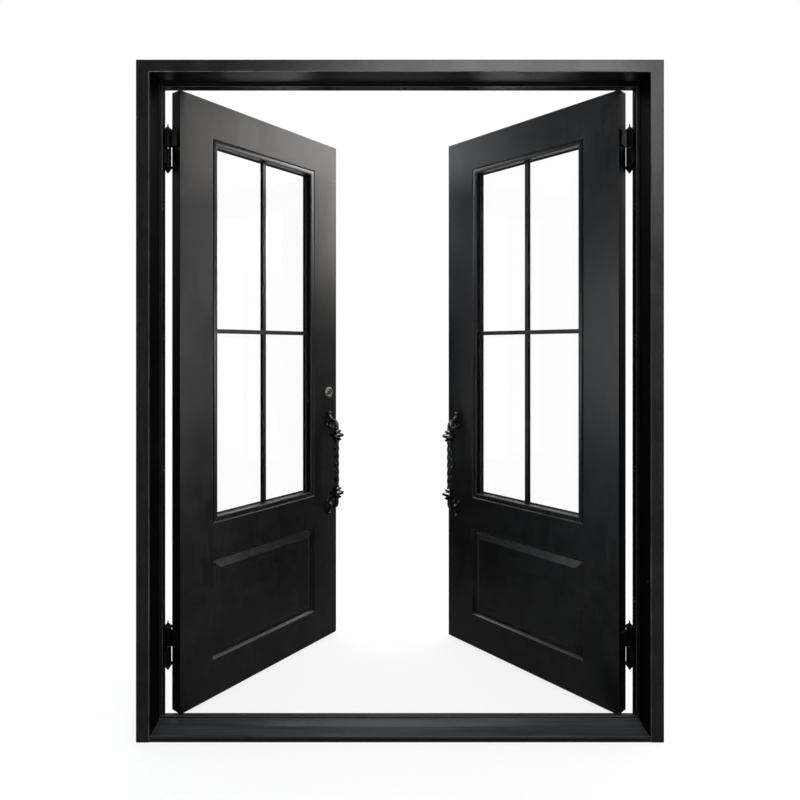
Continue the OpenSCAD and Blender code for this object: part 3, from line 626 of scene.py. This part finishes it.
def twisted_bar(bm, hand):
    length = PULL_SPAN - COLLAR_H
    steps = 132
    section = rounded_square(BAR_SIDE / 2, BAR_CORNER_R)
    rings = []
    for step in range(steps + 1):
        z = length * (step / steps - 0.5)
        turn = hand * BAR_TWIST * (step / steps)
        c, s = math.cos(turn), math.sin(turn)
        rings.append([(PULL_STANDOFF + x * c - y * s, x * s + y * c, z) for x, y in section])
    ring_faces(bm, rings)


def arc(centre, radius, start, end, steps):
    return [(centre[0] + radius * math.cos(start + (end - start) * i / steps),
             centre[1] + radius * math.sin(start + (end - start) * i / steps)) for i in range(steps + 1)]


def drawn_rod(bm, path, first, last, sides=20):
    """A rod drawn down to a thinner end, with a softened square section."""
    rings = []
    for i, (x, z) in enumerate(path):
        before, after = path[max(i - 1, 0)], path[min(i + 1, len(path) - 1)]
        along = Vector((after[0] - before[0], after[1] - before[1])).normalized()
        radius = first + (last - first) * i / (len(path) - 1)
        ring = []
        for k in range(sides):
            angle = 2 * math.pi * k / sides
            c, s = math.cos(angle), math.sin(angle)
            reach = radius / (abs(c) ** 3 + abs(s) ** 3) ** (1 / 3)
            ring.append((x - along.y * reach * c, reach * s, z + along.x * reach * c))
        rings.append(ring)
    ring_faces(bm, rings)


def knob(bm, x, z, radius):
    """A forged ball end, a little flattened across."""
    place = Matrix.Translation((x, 0, z)) @ Matrix.Diagonal((1, 1.08, 1, 1))
    bmesh.ops.create_uvsphere(bm, u_segments=20, v_segments=12, radius=radius, matrix=place)


# Profiles of the collar (height, half width) and the foot (distance from the leaf, radius), in millimetres
COLLAR = (
    (-27, 10), (-26.5, 10.4), (-23.4, 15.2), (-22.6, 16), (-17.4, 16), (-16.6, 15.2), (-13.4, 11), (-11, 12.5),
    (-5.6, 23), (-4.4, 24), (4.4, 24), (5.6, 23), (11, 12.5), (13.4, 11), (16.6, 15.2), (17.4, 16),
    (22.6, 16), (23.4, 15.2), (26.5, 10.4), (27, 10),
)
FOOT = ((0, 14), (3.2, 14), (4.6, 13.2), (5.4, 11.4), (6.4, 9.4), (8, 8.4), (11, 8))


def scroll_bracket(bm):
    """Collar, scroll with its inner curl, tail and foot of the upper bracket."""
    rings = []
    for z, half in COLLAR:
        section = rounded_square(half / 1000, COLLAR_CORNER_R)
        rings.append([(PULL_STANDOFF + x, y, z / 1000) for x, y in section])
    ring_faces(bm, rings)
    scroll = (PULL_STANDOFF - SCROLL_R, SCROLL_Z)
    curl = (PULL_STANDOFF - 2 * SCROLL_R + CURL_R, SCROLL_Z)
    path = [(PULL_STANDOFF, SCROLL_Z * (0.4 + 0.6 * i / 8)) for i in range(8)]
    path += arc(scroll, SCROLL_R, 0, math.pi, 28)
    path += arc(curl, CURL_R, math.pi, CURL_END, 16)[1:]
    drawn_rod(bm, path, *SCROLL_ROD)
    knob(bm, *path[-1], BALL_R)
    path = arc((TAIL_X, TAIL_Z), TAIL_R, TAIL_TO, TAIL_FROM, 18)
    drawn_rod(bm, path, *TAIL_ROD)
    for end in (path[0], path[-1]):
        knob(bm, *end, BALL_R)
    rings = []
    for x, radius in FOOT:
        rings.append([(x / 1000, radius / 1000 * math.cos(2 * math.pi * k / 28),
                       SCROLL_Z + radius / 1000 * math.sin(2 * math.pi * k / 28)) for k in range(28)])
    ring_faces(bm, rings)


def hammered(bm):
    """Shallow dents that follow no pattern."""
    bm.normal_update()
    for vert in bm.verts:
        vert.co += vert.normal * DENT_DEPTH * noise.noise(vert.co * DENTS_PER_METRE)


def on_faces(shape, side):
    """Puts a pull's shape on both faces of a leaf."""
    bm = bmesh.new()
    for y, turn in ((OUTSIDE_Y, -math.pi / 2), (INSIDE_Y, math.pi / 2)):
        part = bmesh.new()
        shape(part)
        place = Matrix.Translation((PULL_X, y, PULL_Z)) @ Matrix.Rotation(turn, 4, "Z")
        merge(bm, part, leaf_matrix(side) @ place)
    return bm


def brackets(bm):
    """The upper bracket and its mirror image below."""
    for flip in (1, -1):
        part = bmesh.new()
        scroll_bracket(part)
        hammered(part)
        merge(bm, part, Matrix.Diagonal((1, 1, flip, 1)) @ Matrix.Translation((0, 0, PULL_SPAN / 2)))


for side in ("left", "right"):
    hand = 1 if side == "left" else -1
    piece(f"{side}_twisted_bars", on_faces(lambda bm: twisted_bar(bm, hand), side), f"{side}_leaf",
          FINISH["black_iron"], [f"{side}_pull_bars"])
    piece(f"{side}_scroll_brackets", on_faces(brackets, side), f"{side}_leaf",
          FINISH["black_iron"], [f"{side}_pull_brackets"])


# Glazing, drawn on a closed leaf with sections of (distance in from an edge, rise)

GASKET_LIP = ((0.0, 0.0), (0.0, 0.0032), (0.0012, 0.0030), (0.0026, 0.0020), (0.0036, 0.0))
BEAD_GROOVE = (
    (0.0, 0.0), (0.0044, 0.0056), (0.0050, 0.0059), (0.0053, 0.0056), (0.0053, 0.0022), (0.0057, 0.0014),
    (0.0065, BEAD_RECESS),
)
NOSING_STEPS = 6


def round_light(bm, section, y, out):
    """Runs a section of (distance in from the light's edge, rise) round the light and skins it."""
    verts = []
    for corner_x, in_x, corner_z, in_z in ((0, 1, 0, 1), (1, -1, 0, 1), (1, -1, 1, -1), (0, 1, 1, -1)):
        verts.append([bm.verts.new((LIGHT_X[corner_x] + in_x * inset, y + out * rise,
                                    LIGHT_Z[corner_z] + in_z * inset)) for inset, rise in section])
    for k in range(len(verts)):
        here, there = verts[k], verts[(k + 1) % len(verts)]
        for i in range(len(here)):
            j = (i + 1) % len(here)
            bm.faces.new((here[i], here[j], there[j], there[i]))


def gaskets(side):
    """Rubber lips on both faces of the glass."""
    bm = bmesh.new()
    for y, out in ((GLASS_OUT_Y, -1), (GLASS_IN_Y, 1)):
        round_light(bm, [(BEAD_INSET + inset, rise) for inset, rise in GASKET_LIP], y, out)
    bm.transform(leaf_matrix(side))
    return bm


def outside_bead(side):
    """The outside bead with its groove and a round nosing towards the glass."""
    bm = bmesh.new()
    depth = GLASS_OUT_Y - OUTSIDE_Y
    section = list(BEAD_GROOVE)
    for k in range(NOSING_STEPS + 1):
        angle = math.pi / 2 * k / NOSING_STEPS
        section.append((BEAD_INSET - NOSING + NOSING * math.sin(angle),
                        BEAD_RECESS + NOSING - NOSING * math.cos(angle)))
    section += [(BEAD_INSET, depth), (0.0, depth)]
    round_light(bm, section, OUTSIDE_Y, 1)
    bm.transform(leaf_matrix(side))
    return bm


def shadow_bars(side):
    """Bars between the panes, behind the grille's bars, from spacer to spacer."""
    x, y, z = sum(LIGHT_X) / 2, (GLASS_OUT_Y + GLASS_IN_Y) / 2, sum(LIGHT_Z) / 2
    half, deep = SHADOW_BAR_W / 2, SHADOW_BAR_T / 2
    upright = block((x - half, y - deep, LIGHT_Z[0] + SPACER_INSET),
                    (x + half, y + deep, LIGHT_Z[1] - SPACER_INSET))
    across = block((LIGHT_X[0] + SPACER_INSET, y - deep, z - half),
                   (LIGHT_X[1] - SPACER_INSET, y + deep, z + half))
    bm = combined([upright, across], "UNION")
    bmesh.ops.dissolve_limit(bm, angle_limit=FLUSH, verts=bm.verts, edges=bm.edges)
    bm.transform(leaf_matrix(side))
    return bm


for side in ("left", "right"):
    bars = piece(f"{side}_shadow_bars", shadow_bars(side), f"{side}_leaf", PAINT[side + "_up"])
    soften(bars, SHADOW_BAR_ARRIS)
    piece(f"{side}_glazing_gaskets", gaskets(side), f"{side}_leaf", FINISH["rubber"])
    piece(f"{side}_moulded_bead", outside_bead(side), f"{side}_leaf", PAINT[side + "_up"],
          [f"{side}_outer_bead"])


# Rose of the deadbolt, in millimetres: a fluted rim around a dished middle

ROSE_BORE = 8.05
HOUSING_R = 15
ROSE = (
    (27.5, 0), (27.5, 3.2), (26.8, 4.8), (25, 5.8), (23.8, 5.7), (23, 6.4), (21.6, 9.6), (20.2, 10.8),
    (18.8, 11), (17.4, 10.8), (16.2, 9.8), (13.8, 5.4), (12.6, 4.8), (ROSE_BORE, 4.8),
)
FLUTES = 14
FLUTE_STEPS = 8
FLUTE_DIP = (3, 4, 5)
FLUTE_DEPTH = 1.1
FLUTED_R = 17


def lock_rose():
    """The outside rose with the cylinder's housing behind it."""
    place = leaf_matrix("left")
    bm = local_copy("deadbolt_rose", place)
    back = 1000 * (OUTSIDE_Y - max(vert.co.y for vert in bm.verts))
    bm.clear()
    rings = []
    for radius, z in ((ROSE_BORE, back), (HOUSING_R, back), (HOUSING_R, 0)) + ROSE:
        ring = []
        for k in range(FLUTES * FLUTE_STEPS):
            dips = radius > FLUTED_R and k % FLUTE_STEPS in FLUTE_DIP
            reach = (radius - FLUTE_DEPTH * dips) / 1000
            angle = 2 * math.pi * k / (FLUTES * FLUTE_STEPS)
            ring.append((reach * math.cos(angle), reach * math.sin(angle), z / 1000))
        rings.append(ring)
    ring_faces(bm, rings + rings[:1], close_ends=False)
    bmesh.ops.remove_doubles(bm, verts=bm.verts, dist=WELD)
    bm.transform(place @ Matrix.Translation((LOCK_X, OUTSIDE_Y, LOCK_Z)) @ Matrix.Rotation(math.pi / 2, 4, "X"))
    return bm


piece("left_lock_rose", lock_rose(), "left_leaf", FINISH["bronze"], ["deadbolt_rose"])


# Slotted screws

SCREW_SIDES = 24
SCREW_DOME = ((0.0003, 1.0), (0.0006, 0.95), (0.0009, 0.82))


def screw(bm, matrix, turn):
    """A low domed head with a slot, standing on Z."""
    part = bmesh.new()
    angles = [2 * math.pi * k / SCREW_SIDES for k in range(SCREW_SIDES)]
    ring_faces(part, [[(SCREW_R * math.cos(a), SCREW_R * math.sin(a), z) for a in angles]
                      for z in (0.0, SCREW_DOME[0][0])])
    for half in (1, -1):
        rows = []
        for z, share in SCREW_DOME:
            r = SCREW_R * share
            start = math.asin(SCREW_SLOT / r)
            steps = SCREW_SIDES // 2
            angles = [start + (math.pi - 2 * start) * k / steps for k in range(steps + 1)]
            rows.append([(r * math.cos(a), half * r * math.sin(a), z) for a in angles])
        ring_faces(part, rows)
    merge(bm, part, matrix @ Matrix.Rotation(turn, 4, "Z"))


def edge_place(z):
    """A place on the leaf's free edge, looking out of it."""
    return Matrix.Translation((LEAF_EDGE, MIDDLE_Y, z)) @ Matrix.Rotation(math.pi / 2, 4, "Y")


PLATE_GAP = 0.3


def plate_heights(node, side):
    """Lowest and highest point of each separate plate of a node."""
    bm = local_copy(node, leaf_matrix(side))
    heights = sorted(vert.co.z for vert in bm.verts)
    bm.free()
    spans = [[heights[0], heights[0]]]
    for z in heights:
        if z - spans[-1][1] > PLATE_GAP:
            spans.append([z, z])
        spans[-1][1] = z
    return spans


def leaf_screws(side, plates):
    """Screws in the plates on a leaf's edge and, on the left leaf, in the inside rose."""
    bm = bmesh.new()
    count = 0
    for node in plates:
        for low, high in plate_heights(node, side):
            for z in (low + SCREW_INSET, high - SCREW_INSET):
                screw(bm, edge_place(z), 0.7 + 1.3 * count)
                count += 1
    if side == "left":
        for x in (LOCK_X - ROSE_SCREW_X, LOCK_X + ROSE_SCREW_X):
            spot = Matrix.Translation((x, INSIDE_Y + TURN_ROSE_T, LOCK_Z))
            screw(bm, spot @ Matrix.Rotation(-math.pi / 2, 4, "X"), 0.4 + 1.1 * count)
            count += 1
    bm.transform(leaf_matrix(side))
    return bm


piece("left_lock_screws", leaf_screws("left", ["deadbolt_faceplate"]), "left_leaf", FINISH["bronze"])
piece("right_plate_screws", leaf_screws("right", ["strike_plate", "flush_bolt_plates"]), "right_leaf",
      FINISH["bronze"])


# Stage

SKY_LIGHT = 0.55
SKY_GLOSS = 0.13
FLOOR_REACH = 40.0
FLOOR_DROP = 0.0005
FLOOR_GREY = 0.86
FLOOR_NEAR = 1.6
FLOOR_FAR = 3.6
GLOW_GLOSS = 0.12
GLOW_NEAR = 0.96
SHARE_GLOSS = 0.92
SHARE_NEAR = 0.80
WHITE = (1.0, 1.0, 1.0)
WARM = (1.0, 0.97, 0.93)
COOL = (0.84, 0.92, 1.0)


def by_ray(tree, plain, gloss, seen):
    """A level for light on the object, one for reflections, and one for sight, also through glass."""
    path = tree.nodes.new("ShaderNodeLightPath")
    reflected = tree.nodes.new("ShaderNodeMapRange")
    reflected.inputs["To Min"].default_value = plain
    reflected.inputs["To Max"].default_value = gloss
    tree.links.new(path.outputs["Is Glossy Ray"], reflected.inputs["Value"])
    sight = tree.nodes.new("ShaderNodeMath")
    sight.operation = "MAXIMUM"
    tree.links.new(path.outputs["Is Camera Ray"], sight.inputs[0])
    tree.links.new(path.outputs["Is Transmission Ray"], sight.inputs[1])
    level = tree.nodes.new("ShaderNodeMapRange")
    if isinstance(seen, float):
        level.inputs["To Max"].default_value = seen
    else:
        tree.links.new(seen, level.inputs["To Max"])
    tree.links.new(sight.outputs["Value"], level.inputs["Value"])
    tree.links.new(reflected.outputs["Result"], level.inputs["To Min"])
    return level.outputs["Result"]


world = bpy.data.worlds.new("studio")
scene.world = world
world.use_nodes = True
sky = world.node_tree
sky.nodes["Background"].inputs["Color"].default_value = (1, 1, 1, 1)
sky.links.new(by_ray(sky, SKY_LIGHT, SKY_GLOSS, 1.0), sky.nodes["Background"].inputs["Strength"])

# Floor: white far out, and near the doors partly lit, so that it keeps their shadow
floor_mesh = bpy.data.meshes.new("floor")
corners = ((-1, -1), (1, -1), (1, 1), (-1, 1))
floor_mesh.from_pydata([(FLOOR_REACH * x, FLOOR_REACH * y, 0) for x, y in corners], [], [(0, 1, 2, 3)])
floor = bpy.data.objects.new("floor", floor_mesh)
floor.location.z = -FLOOR_DROP
scene.collection.objects.link(floor)
floor_material = bpy.data.materials.new("floor_pale")
floor_material.use_nodes = True
ground = floor_material.node_tree
ground_shader = ground.nodes["Principled BSDF"]
ground_shader.inputs["Base Color"].default_value = (FLOOR_GREY, FLOOR_GREY, FLOOR_GREY, 1)
ground_shader.inputs["Roughness"].default_value = 0.9
ground_glow = ground.nodes.new("ShaderNodeEmission")
ground_mix = ground.nodes.new("ShaderNodeMixShader")
distance = ground.nodes.new("ShaderNodeVectorMath")
distance.operation = "LENGTH"
ground.links.new(ground.nodes.new("ShaderNodeNewGeometry").outputs["Position"], distance.inputs[0])
for socket, gloss, near in ((ground_glow.inputs["Strength"], GLOW_GLOSS, GLOW_NEAR),
                            (ground_mix.inputs["Fac"], SHARE_GLOSS, SHARE_NEAR)):
    fade = ground.nodes.new("ShaderNodeMapRange")
    fade.inputs["From Min"].default_value = FLOOR_NEAR
    fade.inputs["From Max"].default_value = FLOOR_FAR
    fade.inputs["To Min"].default_value = near
    ground.links.new(distance.outputs["Value"], fade.inputs["Value"])
    ground.links.new(by_ray(ground, 0.0, gloss, fade.outputs["Result"]), socket)
ground.links.new(ground_shader.outputs["BSDF"], ground_mix.inputs[1])
ground.links.new(ground_glow.outputs["Emission"], ground_mix.inputs[2])
ground.links.new(ground_mix.outputs["Shader"], ground.nodes["Material Output"].inputs["Surface"])
floor_mesh.materials.append(floor_material)


def softbox(name, place, target, size, watts, colour=WHITE):
    """A rectangular lamp that looks at a target."""
    lamp = bpy.data.lights.new(name, "AREA")
    lamp.shape = "RECTANGLE"
    lamp.size, lamp.size_y = size
    lamp.energy = watts
    lamp.color = colour
    obj = bpy.data.objects.new(name, lamp)
    scene.collection.objects.link(obj)
    obj.location = place
    obj.rotation_mode = "QUATERNION"
    obj.rotation_quaternion = (Vector(target) - Vector(place)).to_track_quat("-Z", "Y")


softbox("key", (1.1, -4.4, 3.9), (0.0, 0.2, 1.5), (3.2, 2.0), 180)
softbox("side", (4.6, 1.7, 3.55), (-0.5, 0.5, 1.6), (3.4, 2.3), 165, WARM)
softbox("fill", (-4.6, 1.8, 3.4), (0.5, 0.5, 1.6), (2.4, 1.8), 72, COOL)
softbox("back", (0.0, 2.8, 4.6), (0.0, 0.3, 0.4), (5.0, 1.4), 130)
softbox("crown_right", (3.4, 2.7, 4.4), (0.2, 0.6, 0.9), (1.2, 1.2), 60)
softbox("crown_left", (-2.8, 2.9, 4.6), (-0.2, 0.6, 0.9), (1.2, 1.2), 50)
softbox("rim_right", (4.4, -2.0, 1.45), (-0.6, 0.2, 1.3), (2.4, 1.8), 110)
softbox("rim_left", (-4.4, -2.0, 1.45), (0.6, 0.2, 1.3), (2.4, 1.8), 60, COOL)

camera_data = bpy.data.cameras.new("camera")
camera = bpy.data.objects.new("camera", camera_data)
scene.collection.objects.link(camera)
camera.location = (-0.0566, -2.3083, 1.411)
camera.rotation_euler = (math.pi / 2, 0, 0)
camera_data.sensor_width = 36.0
camera_data.lens = 28.03
camera_data.shift_x = 0.0198
camera_data.shift_y = -0.0657
scene.camera = camera
